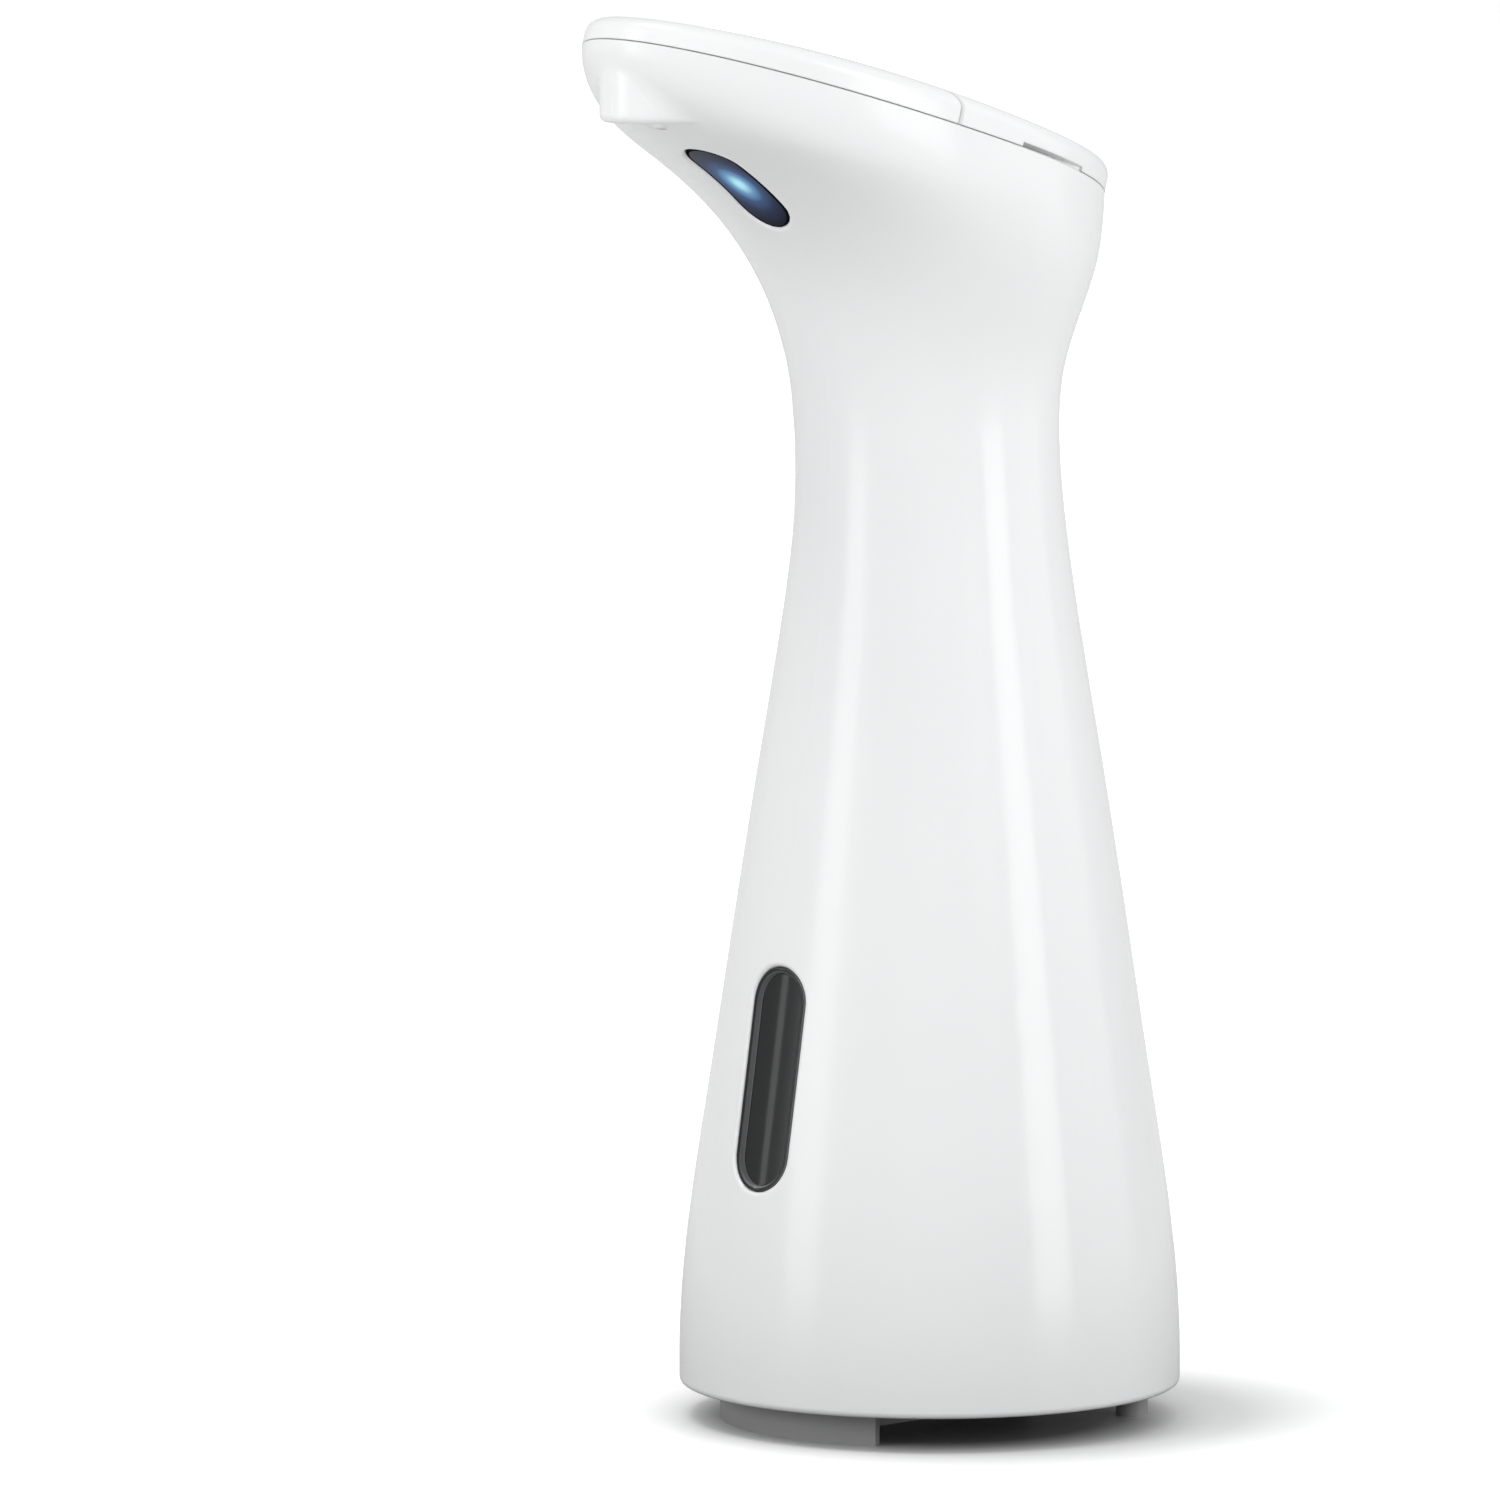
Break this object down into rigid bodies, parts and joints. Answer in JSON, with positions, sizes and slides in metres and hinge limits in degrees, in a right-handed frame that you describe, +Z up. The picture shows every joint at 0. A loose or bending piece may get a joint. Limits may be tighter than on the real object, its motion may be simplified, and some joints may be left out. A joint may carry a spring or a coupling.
{
  "type": "soap dispenser",
  "caption": "Free-standing touchless soap dispenser: swan-neck housing, beak nozzle over an infrared sensor, level window, battery lid, gear pump and twist-off base.",
  "frame": {"origin": "axis of the round base on the standing plane", "axes": "+Z up, -Y towards the front (the beak and nozzle), +X to the right of someone who stands in front of it and looks at it"},
  "size_m": [0.0702, 0.0944, 0.197],
  "materials": {
    "white_abs": "glossy moulded ABS, white",
    "white_key": "glossy moulded ABS, white",
    "grey_abs": "satin moulded ABS, mid grey",
    "black_plastic": "satin black ABS",
    "circuit_board": "solder-masked FR4",
    "screw_steel": "zinc-plated steel",
    "sensor_smoke": "polished smoky polycarbonate, infrared-transparent",
    "ir_epoxy": "dark epoxy",
    "blue_led": "clear epoxy, glows blue",
    "window_smoke": "polished smoky polycarbonate",
    "white_acetal": "moulded acetal",
    "silicone": "moulded silicone",
    "silicone_tube": "translucent silicone tube",
    "contact_nickel": "nickel-plated spring steel",
    "gear_nylon": "moulded nylon",
    "shaft_steel": "ground steel",
    "motor_steel": "nickel-plated steel can",
    "tank_plastic": "translucent polypropylene",
    "cell_wrap": "plain shrink wrap over a steel can"
  },
  "bodies": {
    "housing": {"main_housing": "white_abs", "top_cover": "white_abs", "main_board": "circuit_board", "tact_switches": "black_plastic", "board_screws": "screw_steel", "sensor_lens": "sensor_smoke", "sensor_holder": "black_plastic", "ir_emitter": "ir_epoxy", "status_led": "blue_led", "ir_receiver": "ir_epoxy", "sensor_board": "circuit_board", "level_window": "window_smoke", "nozzle_elbow": "white_acetal", "nozzle_valve": "silicone", "delivery_tube": "silicone_tube", "suction_tube": "silicone_tube", "suction_strainer": "white_acetal", "suction_grommet": "silicone", "battery_box": "black_plastic", "box_screws": "screw_steel", "cell_contacts": "contact_nickel", "battery_cell_1": "cell_wrap", "battery_cell_2": "cell_wrap", "battery_cell_3": "cell_wrap", "battery_cell_4": "cell_wrap", "pump_deck": "grey_abs", "deck_screws": "screw_steel", "pump_housing": "white_acetal", "pump_cover": "white_acetal", "pump_screws": "screw_steel", "idler_pin": "shaft_steel", "shaft_seal": "silicone", "motor_can": "motor_steel", "motor_end_cap": "black_plastic", "motor_strap": "motor_steel", "strap_screws": "screw_steel", "reservoir": "tank_plastic"},
    "battery_lid": {"battery_lid": "white_abs", "lid_contacts": "contact_nickel"},
    "plus_key": {"plus_key": "white_key"},
    "minus_key": {"minus_key": "white_key"},
    "pump_drive": {"motor_shaft": "shaft_steel", "drive_gear": "gear_nylon"},
    "pump_driven": {"driven_gear": "gear_nylon"},
    "base_seal": {"base_seal": "silicone"},
    "base_cover": {"base_cover": "grey_abs"}
  },
  "joints": [
    {"name": "battery_lid_lift", "type": "slide", "parent": "housing", "child": "battery_lid", "axis": [0, 0.2807, 0.9598], "range_m": [0, 0.04]},
    {"name": "plus_key_press", "type": "slide", "parent": "housing", "child": "plus_key", "axis": [0, -0.2807, -0.9598], "range_m": [0, 0.0005], "stiffness_N_per_m": 400},
    {"name": "minus_key_press", "type": "slide", "parent": "housing", "child": "minus_key", "axis": [0, -0.2807, -0.9598], "range_m": [0, 0.0005], "stiffness_N_per_m": 400},
    {"name": "pump_drive_spin", "type": "hinge", "parent": "housing", "child": "pump_drive", "pos_m": [-0.0048, 0, 0.085], "axis": [0, 0, 1], "continuous": true},
    {"name": "pump_driven_spin", "type": "hinge", "parent": "housing", "child": "pump_driven", "pos_m": [0.0048, 0, 0.085], "axis": [0, 0, 1], "continuous": true},
    {"name": "base_cover_drop", "type": "slide", "parent": "housing", "child": "base_seal", "axis": [0, 0, -1], "range_m": [0, 0.006]},
    {"name": "base_cover_twist", "type": "hinge", "parent": "base_seal", "child": "base_cover", "pos_m": [0, 0, 0.0064], "axis": [0, 0, -1], "range_deg": [0, 60]}
  ],
  "couplings": [
    {"joint": "pump_driven_spin", "follows": "pump_drive_spin", "ratio": -1},
    {"joint": "base_cover_drop", "follows": "base_cover_twist", "m_per_rad": 0.00572}
  ]
}
